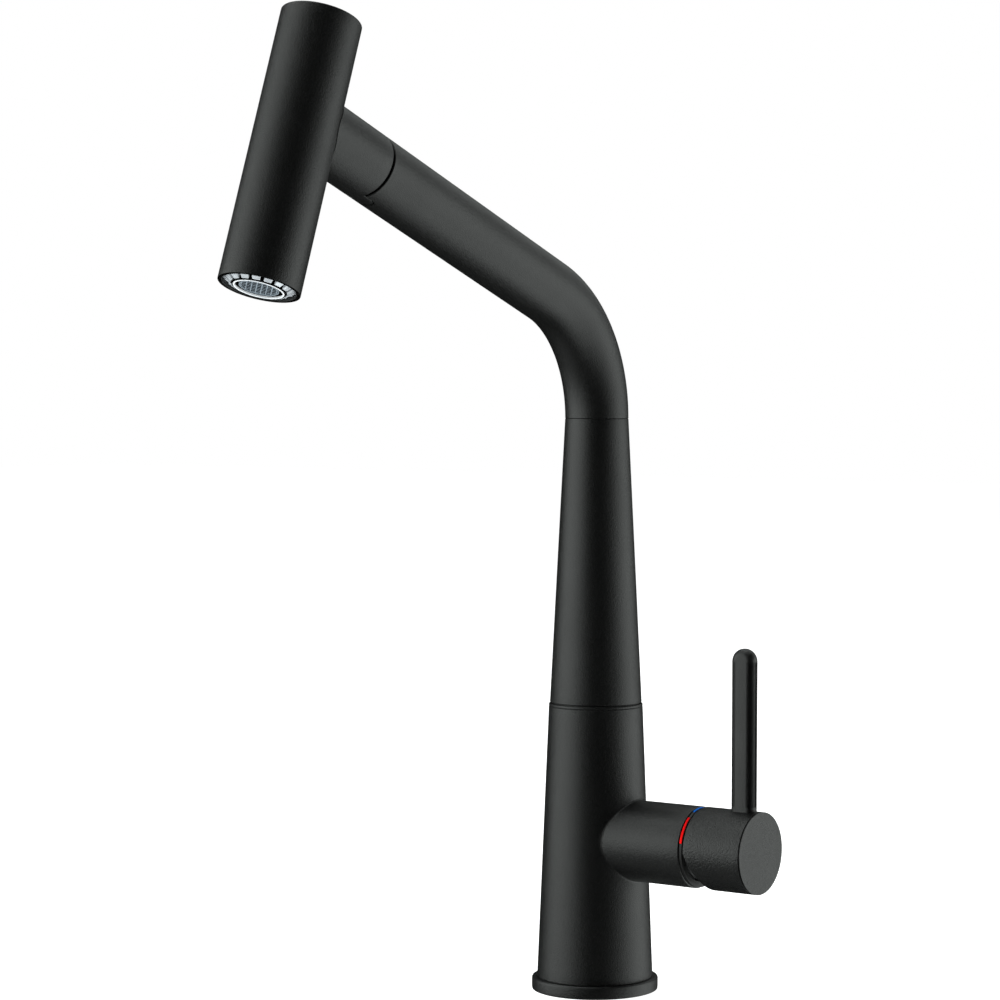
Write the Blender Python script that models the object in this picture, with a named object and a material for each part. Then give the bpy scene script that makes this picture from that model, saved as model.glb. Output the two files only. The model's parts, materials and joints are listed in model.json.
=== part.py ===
"""A single-lever kitchen mixer tap with a pull-down spray, as separate pieces on their joint axes.

The worktop is the plane z = 0 and the origin is the middle of the base ring on it.
The spout points to -Y and the handle to +X. Dimensions below are in millimetres,
and every mesh is scaled to metres as it is made.
"""

import math

import bmesh
import bpy
from mathutils import Matrix, Vector

METRE = 0.001
GAP = 0.3

# Segments round a turned piece: what shows, what is inside, and small holes.
FINE = 28
PLAIN = 16
SMALL = 12

# Base and lower body
BASE_R = 25.0
BASE_H = 5.0
BASE_HOLE_R = 17.4
BODY_FOOT_R = 22.9
BODY_TOP_R = 18.5
SEAM_Z = 113.6
BODY_WALL = 2.1
WEB_Z = 104.0
SPIGOT_R = 12.0
SPIGOT_BORE_R = 9.2
SPIGOT_TOP_Z = 150.0

# Upper column and bent tube
COLUMN_FOOT_R = 18.17
TUBE_R = 12.5
TUBE_BORE_R = 11.2
COLUMN_TOP_Z = 225.8
BEND_R = 52.4
ARM_RISE = math.radians(20.2)
ARM_LENGTH = 117.6
HOSE_R = 3.6

# Spray head, measured along its own axis from where the arm's axis meets it
NECK_START = 118.8
HEAD_AT = 157.4
HEAD_TILT = math.radians(19.3)
HEAD_R = 14.3
HEAD_BORE_R = 12.9
HEAD_TOP = -37.5
HEAD_FACE = 61.75
PULL_PORT_R = 9.2
LUGS = 16

# Handle and cartridge, measured along +X from the body's axis
BRANCH_Z = 60.3
BRANCH_R = 15.85
BRANCH_END = 49.0
BRANCH_BORE_R = 13.2
SEAT_X = 14.0
BOSS_X = 4.5
PIVOT_X = 45.5
CAP_START = 51.0
CAP_END = 76.5
CAP_BORE_R = 13.9
RELIEF = 7.0
LEVER_X = 68.9
LEVER_TOP_Z = 138.4
LEVER_WIDTH = 10.0
LEVER_DEPTH = 6.0
DISC_DROP = 3.0
PORT_X = 9.2
PORT_Y = 9.5
SIDE_PORT = (3.3, 7.2, 2.2)
OUTLET_PORT = (-5.7, 0.0, 2.8)

# Fixing under a 30 mm worktop
STUD_Y = 13.5
STUD_R = 3.0
STUD_FOOT_Z = -62.0
WORKTOP = 30.0


def clear_scene():
    for obj in list(bpy.data.objects):
        bpy.data.objects.remove(obj, do_unlink=True)


def finish(name, color, roughness, metallic):
    made = bpy.data.materials.new(name)
    made.use_nodes = True
    shader = made.node_tree.nodes["Principled BSDF"]
    shader.inputs["Base Color"].default_value = (*color, 1.0)
    shader.inputs["Roughness"].default_value = roughness
    shader.inputs["Metallic"].default_value = metallic
    made.diffuse_color = (*color, 1.0)
    return made


def frame_along_x(height):
    """Local Z runs along +X, and local -X is up."""
    return Matrix.Translation((0, 0, height)) @ Matrix.Rotation(math.pi / 2, 4, "Y")


def bend_station(turn):
    """The frame of the tube's centreline after turning this far out of the vertical."""
    y = -BEND_R * (1 - math.cos(turn))
    z = COLUMN_TOP_Z + BEND_R * math.sin(turn)
    return Matrix.Translation((0, y, z)) @ Matrix.Rotation(turn, 4, "X")


BEND_TURN = math.pi / 2 - ARM_RISE
WORLD = Matrix.Identity(4)
BRANCH = frame_along_x(BRANCH_Z)
ARM = bend_station(BEND_TURN)
HEAD = Matrix.Translation(ARM @ Vector((0, 0, HEAD_AT))) @ Matrix.Rotation(
    math.pi - HEAD_TILT, 4, "X"
)


# Mesh makers. Each returns a bmesh in millimetres.


def faces_between(bm, first, second):
    """Quads between two rings of vertices, or triangles where one of them is a single point."""
    count = max(len(first), len(second))
    for i in range(count):
        j = (i + 1) % count
        corners = [first[i % len(first)], first[j % len(first)]]
        corners += [second[j % len(second)], second[i % len(second)]]
        bm.faces.new(list(dict.fromkeys(corners)))


def turned(outline, sides=PLAIN):
    """A piece turned about local Z. The outline is (radius, height) points, closed or ending on the axis."""
    bm = bmesh.new()
    rings = []
    for radius, height in outline:
        if radius == 0:
            rings.append([bm.verts.new((0, 0, height))])
            continue
        turns = [2 * math.pi * i / sides for i in range(sides)]
        rings.append(
            [bm.verts.new((radius * math.cos(a), radius * math.sin(a), height)) for a in turns]
        )
    for first, second in zip(rings, rings[1:]):
        faces_between(bm, first, second)
    if len(rings[0]) > 1:
        faces_between(bm, rings[-1], rings[0])
    bmesh.ops.recalc_face_normals(bm, faces=bm.faces)
    return bm


def ring(inner, outer, start, end, sides=PLAIN):
    return turned([(inner, start), (outer, start), (outer, end), (inner, end)], sides)


def rod(radius, start, end, sides=PLAIN):
    return turned([(0, start), (radius, start), (radius, end), (0, end)], sides)


def block(low, high):
    bm = bmesh.new()
    bmesh.ops.create_cube(bm, size=1)
    low = Vector(low)
    high = Vector(high)
    for vert in bm.verts:
        vert.co = Vector(a + (b - a) * (t + 0.5) for a, b, t in zip(low, high, vert.co))
    return bm


def extruded(outline, low, high):
    """A prism with its outline in local XZ, from y = low to y = high."""
    bm = bmesh.new()
    near = [bm.verts.new((x, low, z)) for x, z in outline]
    far = [bm.verts.new((x, high, z)) for x, z in outline]
    bm.faces.new(near)
    bm.faces.new(far)
    faces_between(bm, near, far)
    bmesh.ops.recalc_face_normals(bm, faces=bm.faces)
    return bm


def sector(inner, outer, start, end, first, last, steps=8):
    """Part of a ring about local Z, between two angles in degrees."""
    bm = bmesh.new()
    slices = []
    for i in range(steps + 1):
        a = math.radians(first + (last - first) * i / steps)
        corners = [(inner, start), (outer, start), (outer, end), (inner, end)]
        slices.append([bm.verts.new((r * math.cos(a), r * math.sin(a), z)) for r, z in corners])
    for one, two in zip(slices, slices[1:]):
        faces_between(bm, one, two)
    bm.faces.new(slices[0])
    bm.faces.new(slices[-1])
    bmesh.ops.recalc_face_normals(bm, faces=bm.faces)
    return bm


def swept(stations, outer, inner=0.0, sides=PLAIN):
    """A tube, or a solid cord where inner is 0, through a row of frames."""
    bm = bmesh.new()
    turns = [2 * math.pi * i / sides for i in range(sides)]

    def hoop(station, radius):
        return [
            bm.verts.new(station @ Vector((radius * math.cos(a), radius * math.sin(a), 0)))
            for a in turns
        ]

    rings = [hoop(station, outer) for station in stations]
    if inner:
        rings += [hoop(station, inner) for station in reversed(stations)]
        rings.append(rings[0])
    else:
        bm.faces.new(rings[0])
        bm.faces.new(rings[-1])
    for first, second in zip(rings, rings[1:]):
        faces_between(bm, first, second)
    bmesh.ops.recalc_face_normals(bm, faces=bm.faces)
    return bm


def round_bar(width, depth, corner, low, high):
    """An upright bar with rounded corners and a round top, about local Z."""
    bm = bmesh.new()
    outline = []
    for quarter in range(4):
        sign_x = 1 if quarter in (0, 3) else -1
        sign_y = 1 if quarter < 2 else -1
        for step in range(4):
            a = math.radians(90 * quarter + 30 * step)
            x = sign_x * (width / 2 - corner) + corner * math.cos(a)
            y = sign_y * (depth / 2 - corner) + corner * math.sin(a)
            outline.append((x, y))
    dome = width / 2
    levels = [(low, 1.0)]
    for step in range(6):
        a = math.radians(15 * step)
        levels.append((high - dome + dome * math.sin(a), math.cos(a)))
    rings = [[bm.verts.new((x * s, y * s, z)) for x, y in outline] for z, s in levels]
    for first, second in zip(rings, rings[1:]):
        faces_between(bm, first, second)
    faces_between(bm, rings[-1], [bm.verts.new((0, 0, high))])
    bm.faces.new(rings[0])
    bmesh.ops.recalc_face_normals(bm, faces=bm.faces)
    return bm


def shifted(bm, x=0.0, y=0.0, z=0.0):
    bmesh.ops.translate(bm, verts=bm.verts, vec=(x, y, z))
    return bm


def laid(bm, axis):
    """The same piece with its local Z turned to lie along local X or Y."""
    turn = Matrix.Rotation(math.pi / 2, 4, "Y") if axis == "X" else Matrix.Rotation(-math.pi / 2, 4, "X")
    bmesh.ops.transform(bm, matrix=turn, verts=bm.verts)
    return bm


def merged(pieces):
    """Several separate closed shapes in one mesh, used as one cutter."""
    whole = bmesh.new()
    for piece in pieces:
        mesh = bpy.data.meshes.new("part_of_cutter")
        piece.to_mesh(mesh)
        whole.from_mesh(mesh)
        piece.free()
        bpy.data.meshes.remove(mesh)
    return whole


# Object makers


def in_metres(frame):
    scaled = frame.copy()
    scaled.translation = frame.translation * METRE
    return scaled


def joint_empty(name, frame, parent=None):
    empty = bpy.data.objects.new(name, None)
    empty.empty_display_size = 0.02
    bpy.context.scene.collection.objects.link(empty)
    attach(empty, in_metres(frame), parent)
    return empty


def attach(obj, matrix, parent):
    obj["rest"] = [value for row in matrix for value in row]
    if parent:
        rest = list(parent["rest"])
        parent_matrix = Matrix([rest[i : i + 4] for i in range(0, 16, 4)])
        obj.parent = parent
        obj.matrix_parent_inverse = parent_matrix.inverted()
    obj.matrix_basis = matrix


def add(name, bm, material, frame=WORLD, parent=None):
    """One piece of the tap, as an object of its own."""
    bmesh.ops.scale(bm, vec=(METRE,) * 3, verts=bm.verts)
    mesh = bpy.data.meshes.new(name)
    bm.to_mesh(mesh)
    bm.free()
    if material:
        mesh.materials.append(material)
    mesh.shade_smooth()
    mesh.set_sharp_from_angle(angle=math.radians(30))
    obj = bpy.data.objects.new(name, mesh)
    bpy.context.scene.collection.objects.link(obj)
    attach(obj, in_metres(frame), parent)
    return obj


def change(obj, bm, operation, frame=None):
    """Cuts a shape from a piece, or unites the two. The shape is in the piece's frame unless another is given."""
    if frame is None:
        rest = list(obj["rest"])
        frame = Matrix([rest[i : i + 4] for i in range(0, 16, 4)])
        frame.translation = frame.translation / METRE
    tool = add(f"{obj.name}_tool_{len(obj.modifiers)}", bm, None, frame)
    tool.hide_render = True
    tool.display_type = "WIRE"
    modifier = obj.modifiers.new(operation.lower(), "BOOLEAN")
    modifier.operation = operation
    modifier.solver = "EXACT"
    modifier.object = tool


def cut(obj, bm, frame=None):
    change(obj, bm, "DIFFERENCE", frame)


def unite(obj, bm, frame=None):
    change(obj, bm, "UNION", frame)


# The pieces, body by body


def make_base(paint, rubber, plastic, steel, brass):
    ring_outline = [
        (BASE_HOLE_R, 0),
        (19.6, 0),
        (19.6, 1.5),
        (22.4, 1.5),
        (22.4, 0),
        (BASE_R - 0.5, 0),
        (BASE_R, 0.5),
        (BASE_R, BASE_H - 0.7),
        (BASE_R - 0.7, BASE_H),
        (20.3, BASE_H),
        (20.3, BASE_H + 2.4),
        (BASE_HOLE_R, BASE_H + 2.4),
    ]
    add("base_ring", turned(ring_outline, FINE), paint)
    add("base_gasket", ring(19.9, 22.1, 0, 1.2, FINE), rubber)

    plate = add("mounting_plate", rod(20.0, 8, 13), steel)
    cut(plate, shifted(rod(9.3, 7, 14), 3, -2.5))
    cut(plate, shifted(rod(STUD_R + GAP, 7, 14, SMALL), 0, STUD_Y))
    bush = turned([(7.9, 6.5), (9, 6.5), (9, 13.3), (10.4, 13.3), (10.4, 15), (7.9, 15)])
    add("hose_guide_bush", shifted(bush, 3, -2.5), plastic)

    stud = turned(
        [(0, STUD_FOOT_Z), (STUD_R, STUD_FOOT_Z), (STUD_R, 13.3), (4.8, 13.3), (4.8, 16.5), (0, 16.5)],
        SMALL,
    )
    add("mounting_stud", shifted(stud, 0, STUD_Y), steel)
    layers = (("horseshoe_gasket", 3.0, rubber, 0.0), ("horseshoe_washer", 2.5, steel, 3.3))
    for name, thickness, material, below in layers:
        top = -WORKTOP - below
        horseshoe = add(name, rod(24, top - thickness, top, FINE), material)
        cut(horseshoe, shifted(rod(10, top - thickness - 1, top + 1), 0, -1))
        cut(horseshoe, block((-9.8, -30, top - thickness - 1), (9.8, -1.2, top + 1)))
        cut(horseshoe, shifted(rod(STUD_R + GAP, top - thickness - 1, top + 1, SMALL), 0, STUD_Y))
    nut = add("stud_nut", shifted(rod(5.8, -44, -36.1, 6), 0, STUD_Y), brass)
    cut(nut, shifted(rod(STUD_R + GAP, -45, -35, SMALL), 0, STUD_Y))


def make_body(paint, brass):
    outline = [
        (BODY_FOOT_R - BODY_WALL, BASE_H + GAP),
        (BODY_FOOT_R, BASE_H + GAP),
        (BODY_TOP_R, SEAM_Z - 0.7),
        (SPIGOT_R + 0.4, SEAM_Z - 0.7),
        (SPIGOT_R + 0.4, WEB_Z),
        (BODY_TOP_R - 1.7, WEB_Z),
    ]
    body = add("mixer_body", turned(outline, FINE), paint)
    unite(body, rod(BRANCH_R, BOSS_X, BRANCH_END, FINE), BRANCH)
    for side in (-1, 1):
        x, y, r = SIDE_PORT
        cut(body, shifted(rod(3.4, 40, 58, SMALL), PORT_X, side * PORT_Y), WORLD)
        cut(body, shifted(rod(r, PORT_X, SEAT_X + 1, SMALL), x, side * y), BRANCH)
    x, y, r = OUTLET_PORT
    cut(body, shifted(rod(3.4, 40, 67, SMALL), PORT_X, 0), WORLD)
    cut(body, shifted(rod(r, PORT_X, SEAT_X + 1, SMALL), x, y), BRANCH)
    cut(body, rod(BRANCH_BORE_R, SEAT_X, BRANCH_END + 2, FINE), BRANCH)

    fittings = (("cold_inlet_fitting", 1), ("hot_inlet_fitting", -1), ("outlet_fitting", 0))
    for name, side in fittings:
        nipple = turned(
            [(1.8, 30), (3.6, 30), (3.6, 38), (4.4, 38), (4.4, 43.8), (3.1, 43.8), (3.1, 54), (1.8, 54)],
            SMALL,
        )
        add(name, shifted(nipple, PORT_X, side * PORT_Y), brass)


def make_swivel(brass, plastic):
    groove = SPIGOT_R - 1.2
    outline = [
        (SPIGOT_BORE_R, 97),
        (15.8, 97),
        (15.8, WEB_Z - 0.4),
        (SPIGOT_R, WEB_Z - 0.4),
        (SPIGOT_R, 118),
        (groove, 118),
        (groove, 123),
        (SPIGOT_R, 123),
        (SPIGOT_R, 142),
        (groove, 142),
        (groove, 147),
        (SPIGOT_R, 147),
        (SPIGOT_R, SPIGOT_TOP_Z),
        (SPIGOT_BORE_R, SPIGOT_TOP_Z),
    ]
    spigot = add("spout_spigot", turned(outline), brass)
    cut(spigot, sector(10.6, 13.0, 130.6, 135.4, 20, 160, 12))
    for name, start in (("lower_slide_ring", 118), ("upper_slide_ring", 142)):
        add(name, ring(groove + GAP, SPIGOT_R + GAP, start + GAP, start + 5 - GAP), plastic)
    add("swivel_washer", ring(SPIGOT_R + 0.4, 17.6, SEAM_Z - 0.4, SEAM_Z + 0.2, FINE), plastic)


def make_cartridge(plastic, rubber, ceramic, brass, paint, red, blue):
    housing_outline = [
        (0, 17),
        (12.6, 17),
        (12.6, 38),
        (9.6, 38),
        (9.6, 50),
        (8, 50),
        (8, 37),
        (11, 37),
        (11, 20.7),
        (0, 20.7),
    ]
    housing = add("cartridge_housing", turned(housing_outline), plastic, BRANCH)
    fixed = add("fixed_ceramic_disc", rod(10.6, 21, 24.9), ceramic, BRANCH)
    x, y, r = SIDE_PORT
    ports = (("cold_port_seal", x, y, r), ("hot_port_seal", x, -y, r), ("outlet_port_seal", *OUTLET_PORT))
    for name, across, along, radius in ports:
        cut(housing, shifted(rod(radius, 16, 22, SMALL), across, along))
        cut(fixed, shifted(rod(radius, 20, 26, SMALL), across, along))
        seal = shifted(ring(radius + 0.2, radius + 1.5, SEAT_X + GAP, 16.7, SMALL), across, along)
        add(name, seal, rubber, BRANCH)

    add("cartridge_nut", ring(9.9, 12.9, 38.3, 44), brass, BRANCH)
    arc = [math.radians(a) for a in (90, 76, 62, 48)]
    outer = [(12.9 * math.sin(a), PIVOT_X + 12.9 * math.cos(a)) for a in arc]
    inner = [(11.9 * math.sin(a), PIVOT_X + 11.9 * math.cos(a)) for a in reversed(arc)]
    dome = turned([(11.9, 44.3), (12.9, 44.3)] + outer + inner, FINE)
    add("cartridge_shroud", dome, paint, BRANCH)

    mark_start = BRANCH_END + GAP
    mark_end = BRANCH_END + 1.4
    add("index_ring", ring(13, 14.7, mark_start, mark_end, FINE), plastic, BRANCH)
    marks = (("cold_mark", blue, 158.5, 200.5), ("hot_mark", red, 215.5, 257.5))
    for name, material, first, last in marks:
        add(name, sector(15, 15.5, mark_start, mark_end, first, last), material, BRANCH)


def make_rotor(plastic, steel, ceramic):
    turn = joint_empty("lever_turn_axis", BRANCH)
    outline = [(0, 33.3), (10.6, 33.3), (10.6, 36.5), (7.7, 36.5), (7.7, 49.6), (0, 49.6)]
    rotor = add("cartridge_rotor", turned(outline), plastic, BRANCH, turn)
    cut(rotor, block((-9, -3.8, 37.1), (9, 3.8, 51)))
    cut(rotor, block((-8.2, -2.4, 32), (2.7, 2.4, 37.5)))
    cut(rotor, shifted(laid(rod(1.6, -9, 9, SMALL), "Y"), 0, 0, PIVOT_X))
    pin = shifted(laid(rod(1.3, -7.2, 7.2, SMALL), "Y"), 0, 0, PIVOT_X)
    add("stem_pivot_pin", pin, steel, BRANCH, turn)

    slide = joint_empty("valve_disc_axis", BRANCH, turn)
    recess = [(0, 26.7), (4.2, 26.7), (4.2, 25.2), (7, 25.2), (7, 29.2), (0, 29.2)]
    add("moving_ceramic_disc", shifted(turned(recess), DISC_DROP), ceramic, BRANCH, slide)
    carrier = add("disc_carrier", shifted(rod(7, 29.5, 33), DISC_DROP), plastic, BRANCH, slide)
    cut(carrier, block((-2.8, -2.3, 30.4), (2.8, 2.3, 34)))
    return turn


def make_handle(turn, paint, brass, steel, plastic):
    lift = joint_empty("lever_lift_axis", Matrix.Translation((PIVOT_X, 0, BRANCH_Z)), turn)
    stem = add("handle_stem", block((-3.5, -3.5, 39.6), (3.5, 3.5, 70.7)), brass, BRANCH, lift)
    unite(stem, block((-1.8, -1.8, 31.2), (1.8, 1.8, 41)))
    cut(stem, shifted(laid(rod(1.6, -9, 9, SMALL), "Y"), 0, 0, PIVOT_X))

    outline = [
        (0, CAP_END - 3),
        (CAP_BORE_R, CAP_END - 3),
        (CAP_BORE_R, CAP_START),
        (BRANCH_R, CAP_START),
        (BRANCH_R, CAP_END - 0.6),
        (BRANCH_R - 0.6, CAP_END),
        (0, CAP_END),
    ]
    cap = add("handle_cap", turned(outline, FINE), paint, BRANCH, lift)
    unite(cap, rod(6.5, 58.4, 74.5))
    cut(cap, block((-3.8, -3.8, 57), (3.8, 3.8, 71.2)))
    slope = RELIEF / BRANCH_R
    relief = [(x, CAP_START + x * slope) for x in (-2, 20)] + [(20, 49), (-2, 49)]
    cut(cap, extruded(relief, -20, 20))
    cut(cap, shifted(laid(rod(2.3, -17, -12, SMALL), "X"), 0, 0, LEVER_X))
    cut(cap, shifted(laid(rod(2.0, 3, 8, SMALL), "X"), 0, 0, 66))
    cut(cap, shifted(laid(rod(2.4, 12, 17, SMALL), "X"), 0, 0, 66))

    upright = Matrix.Translation((LEVER_X, 0, 0))
    bar_mesh = round_bar(LEVER_WIDTH, LEVER_DEPTH, 2.6, BRANCH_Z + 13, LEVER_TOP_Z)
    bar = add("lever_bar", bar_mesh, paint, upright, lift)
    cut(bar, rod(BRANCH_R + GAP, 50, 90, FINE), BRANCH)
    cut(bar, rod(2.3, 70, 90, SMALL))
    stud = [(0, 69.3), (3.4, 69.3), (3.4, 73), (2, 73), (2, 89.5), (0, 89.5)]
    add("lever_stud", turned(stud, SMALL), steel, upright, lift)
    grub = shifted(laid(rod(1.7, 4.1, 6.4, SMALL), "X"), 0, 0, 66)
    add("handle_grub_screw", grub, steel, BRANCH, lift)
    plug = shifted(laid(rod(2.1, 14.2, 15.6, SMALL), "X"), 0, 0, 66)
    add("screw_plug", plug, plastic, BRANCH, lift)


def make_spout(paint, brass, plastic, braid, steel):
    swivel = joint_empty("spout_swivel_axis", Matrix.Translation((0, 0, SEAM_Z)))
    column_outline = [
        (SPIGOT_R + 2 * GAP, SEAM_Z + 0.5),
        (COLUMN_FOOT_R, SEAM_Z + 0.5),
        (TUBE_R, COLUMN_TOP_Z),
        (TUBE_BORE_R, COLUMN_TOP_Z),
        (TUBE_BORE_R, 152),
        (SPIGOT_R + 2 * GAP, 152),
    ]
    column = add("spout_column", turned(column_outline, FINE), paint, WORLD, swivel)
    cut(column, shifted(laid(rod(1.8, 11, 20, SMALL), "Y"), 0, 0, 133))
    screw = shifted(laid(rod(1.5, 10.9, 16, SMALL), "Y"), 0, 0, 133)
    add("spout_stop_screw", screw, steel, WORLD, swivel)
    add("tube_coupling", ring(8.6, 10.7, 200, 229), brass, WORLD, swivel)

    bend_steps = 10
    turns = [BEND_TURN * i / bend_steps for i in range(bend_steps + 1)]
    foot = Matrix.Translation((0, 0, COLUMN_TOP_Z + GAP))
    mouth = ARM @ Matrix.Translation((0, 0, ARM_LENGTH))
    bend = [bend_station(turn) for turn in turns[1:]]
    tube_mesh = swept([foot] + bend + [mouth], TUBE_R, TUBE_BORE_R, 24)
    tube = add("spout_tube", tube_mesh, paint, WORLD, swivel)
    cut(tube, sector(10.5, 13.5, 111.9, ARM_LENGTH + 1, -106, -74), ARM)

    sleeve = [(8.6, 90), (10.9, 90), (10.9, 116.2), (9.4, 116.2), (8.6, 114)]
    add("docking_sleeve", turned(sleeve), plastic, ARM, swivel)
    low = Matrix.Translation((0, 0, 12))
    high = Matrix.Translation((0, 0, COLUMN_TOP_Z))
    hose_end = ARM @ Matrix.Translation((0, 0, 5.7))
    hose = swept([low, high] + bend[1::2] + [hose_end], HOSE_R, 0, SMALL)
    add("spray_hose_lower", hose, braid, WORLD, swivel)
    return swivel


def make_spray(swivel, paint, brass, plastic, rubber, braid, steel, chrome):
    pull = joint_empty("spray_pull_axis", ARM, swivel)
    neck = add("spray_neck", ring(PULL_PORT_R, TUBE_R, NECK_START, 150.6, FINE), paint, ARM, pull)
    cut(neck, rod(HEAD_R + GAP, -40, 40, FINE), HEAD)
    unite(neck, sector(11.45, 12.45, 112.3, NECK_START + 1, -104.6, -75.4))

    spigot_outline = [
        (5.2, 100),
        (8.3, 100),
        (8.3, 107),
        (7.0, 107),
        (7.0, 110),
        (8.3, 110),
        (8.3, 118),
        (8.9, 118.6),
        (8.9, 149.8),
        (5.2, 149.8),
    ]
    add("docking_spigot", turned(spigot_outline), brass, ARM, pull)
    add("docking_seal", ring(7.25, 8.25, 107.3, 109.7), rubber, ARM, pull)
    add("check_valve", ring(2, 4.9, 125, 139, SMALL), plastic, ARM, pull)
    nut = [(3.9, 88), (5.4, 88), (8.2, 93), (8.2, 99.7), (3.9, 99.7)]
    add("hose_nut", turned(nut), brass, ARM, pull)
    add("spray_hose_upper", rod(HOSE_R, 6, 96.7, SMALL), braid, ARM, pull)

    shell_outline = [
        (HEAD_BORE_R, HEAD_TOP),
        (HEAD_R - 0.6, HEAD_TOP),
        (HEAD_R, HEAD_TOP + 0.6),
        (HEAD_R, HEAD_FACE - 0.5),
        (HEAD_R - 0.5, HEAD_FACE),
        (HEAD_BORE_R, HEAD_FACE),
    ]
    shell = add("spray_shell", turned(shell_outline, FINE), paint, HEAD, pull)
    cut(shell, rod(PULL_PORT_R, 130, 152), ARM)
    end_cap = [(0, HEAD_TOP + 0.2), (12.6, HEAD_TOP + 0.2), (12.6, -34.6), (9, -34.6), (9, -31), (0, -31)]
    add("spray_end_cap", turned(end_cap, FINE), paint, HEAD, pull)
    core_outline = [
        (0, -18),
        (12.3, -18),
        (12.3, 43.7),
        (11.2, 43.7),
        (11.2, 46.3),
        (12.3, 46.3),
        (12.3, 49.5),
        (7.6, 49.5),
        (7.6, 12),
        (4, 12),
        (4, -5),
        (0, -5),
    ]
    core = add("spray_core", turned(core_outline), plastic, HEAD, pull)
    cut(core, rod(PULL_PORT_R, 142, 150.1), ARM)
    cut(core, rod(3, 149, 157, SMALL), ARM)
    add("core_seal", ring(11.5, 12.6, 44, 46), rubber, HEAD, pull)

    face_holes = merged(
        [
            shifted(rod(0.8, 59, 63, 6), column * 2.2 + (row % 2) * 1.1, row * 1.9)
            for row in range(-2, 3)
            for column in range(-2, 3)
        ]
    )
    rim = turned([(7.1, 49.9), (9, 49.9), (9, 61.8), (8, 62.5), (7.1, 62.5)], FINE)
    add("aerator_housing", rim, chrome, HEAD, pull)
    screen = add("aerator_screen", rod(6.8, 60.6, 62), steel, HEAD, pull)
    cut(screen, face_holes)
    add("flow_regulator", ring(2, 6.8, 51, 55), plastic, HEAD, pull)

    select = joint_empty("jet_selector_axis", HEAD, pull)
    crown = turned([(9.3, 49.8), (12.6, 49.8), (12.6, 60.9), (9.3, 62.1)], 2 * LUGS)
    nozzle = add("nozzle_ring", crown, chrome, HEAD, select)
    slots = []
    for i in range(LUGS):
        slot = block((8, -0.65, 59.3), (14, 0.65, 63))
        turn = Matrix.Rotation(2 * math.pi * i / LUGS, 4, "Z")
        bmesh.ops.transform(slot, matrix=turn, verts=slot.verts)
        slots.append(slot)
    cut(nozzle, merged(slots))
    add("diverter_sleeve", ring(5, 7.3, 22, 49.2), plastic, HEAD, select)


def main():
    clear_scene()
    paint = finish("matte_black_paint", (0.012, 0.012, 0.012), 0.45, 0.0)
    black = finish("black_plastic", (0.02, 0.02, 0.02), 0.5, 0.0)
    white = finish("white_plastic", (0.75, 0.75, 0.72), 0.45, 0.0)
    rubber = finish("black_rubber", (0.025, 0.025, 0.025), 0.75, 0.0)
    steel = finish("steel", (0.55, 0.55, 0.56), 0.35, 1.0)
    brass = finish("brass", (0.6, 0.42, 0.18), 0.35, 1.0)
    ceramic = finish("ceramic", (0.85, 0.85, 0.82), 0.2, 0.0)
    chrome = finish("chrome_face", (0.75, 0.76, 0.78), 0.1, 1.0)
    braid = finish("hose_braid", (0.3, 0.3, 0.31), 0.4, 0.0)
    red = finish("red_mark", (0.75, 0.01, 0.01), 0.4, 0.0)
    blue = finish("blue_mark", (0.0, 0.1, 0.5), 0.4, 0.0)

    make_base(paint, rubber, black, steel, brass)
    make_body(paint, brass)
    make_swivel(brass, white)
    make_cartridge(white, rubber, ceramic, brass, black, red, blue)
    turn = make_rotor(white, steel, ceramic)
    make_handle(turn, paint, brass, steel, black)
    swivel = make_spout(paint, brass, white, braid, steel)
    make_spray(swivel, paint, brass, white, rubber, braid, steel, chrome)


main()
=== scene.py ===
"""Looks of a matte black single-lever kitchen mixer with a pull-out spray, around its CAD frame."""

import json
import math

import bmesh
import bpy
from mathutils import Matrix, Vector


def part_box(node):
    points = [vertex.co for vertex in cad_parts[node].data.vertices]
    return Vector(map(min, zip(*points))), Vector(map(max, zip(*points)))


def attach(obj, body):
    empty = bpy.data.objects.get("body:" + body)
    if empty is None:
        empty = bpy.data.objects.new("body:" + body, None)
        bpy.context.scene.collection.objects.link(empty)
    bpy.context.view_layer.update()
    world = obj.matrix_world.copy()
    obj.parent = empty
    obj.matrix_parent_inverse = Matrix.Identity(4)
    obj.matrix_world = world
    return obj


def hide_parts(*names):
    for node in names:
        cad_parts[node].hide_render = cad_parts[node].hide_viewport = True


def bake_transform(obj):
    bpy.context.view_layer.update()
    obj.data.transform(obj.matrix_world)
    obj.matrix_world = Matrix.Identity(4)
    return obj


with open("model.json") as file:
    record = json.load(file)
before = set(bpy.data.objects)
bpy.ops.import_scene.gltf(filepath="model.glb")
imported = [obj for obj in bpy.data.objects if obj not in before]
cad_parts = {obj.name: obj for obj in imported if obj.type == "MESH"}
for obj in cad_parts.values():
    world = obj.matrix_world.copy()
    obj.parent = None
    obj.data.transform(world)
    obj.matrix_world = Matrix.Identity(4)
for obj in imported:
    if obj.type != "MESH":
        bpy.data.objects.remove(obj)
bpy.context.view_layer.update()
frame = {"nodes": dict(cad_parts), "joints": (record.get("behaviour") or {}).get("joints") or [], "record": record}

MM = 0.001
SIDES = 128
RUN = 4 * MM
SMOOTH_ANGLE = math.radians(40)
LUGS = 16
MIX_A, MIX_B, MIX_RESULT = 6, 7, 2  # the colour sockets of a Mix node
CAMERA_AZIMUTH = math.radians(34.253)
MIDDLE = Vector((0, 0, 0.2))
JOINTS = {joint["name"]: joint for joint in frame["joints"]}


# Measures, from the frame wherever it holds them


def joint_axis(name):
    return Vector(JOINTS[name]["axis"]).normalized()


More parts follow.
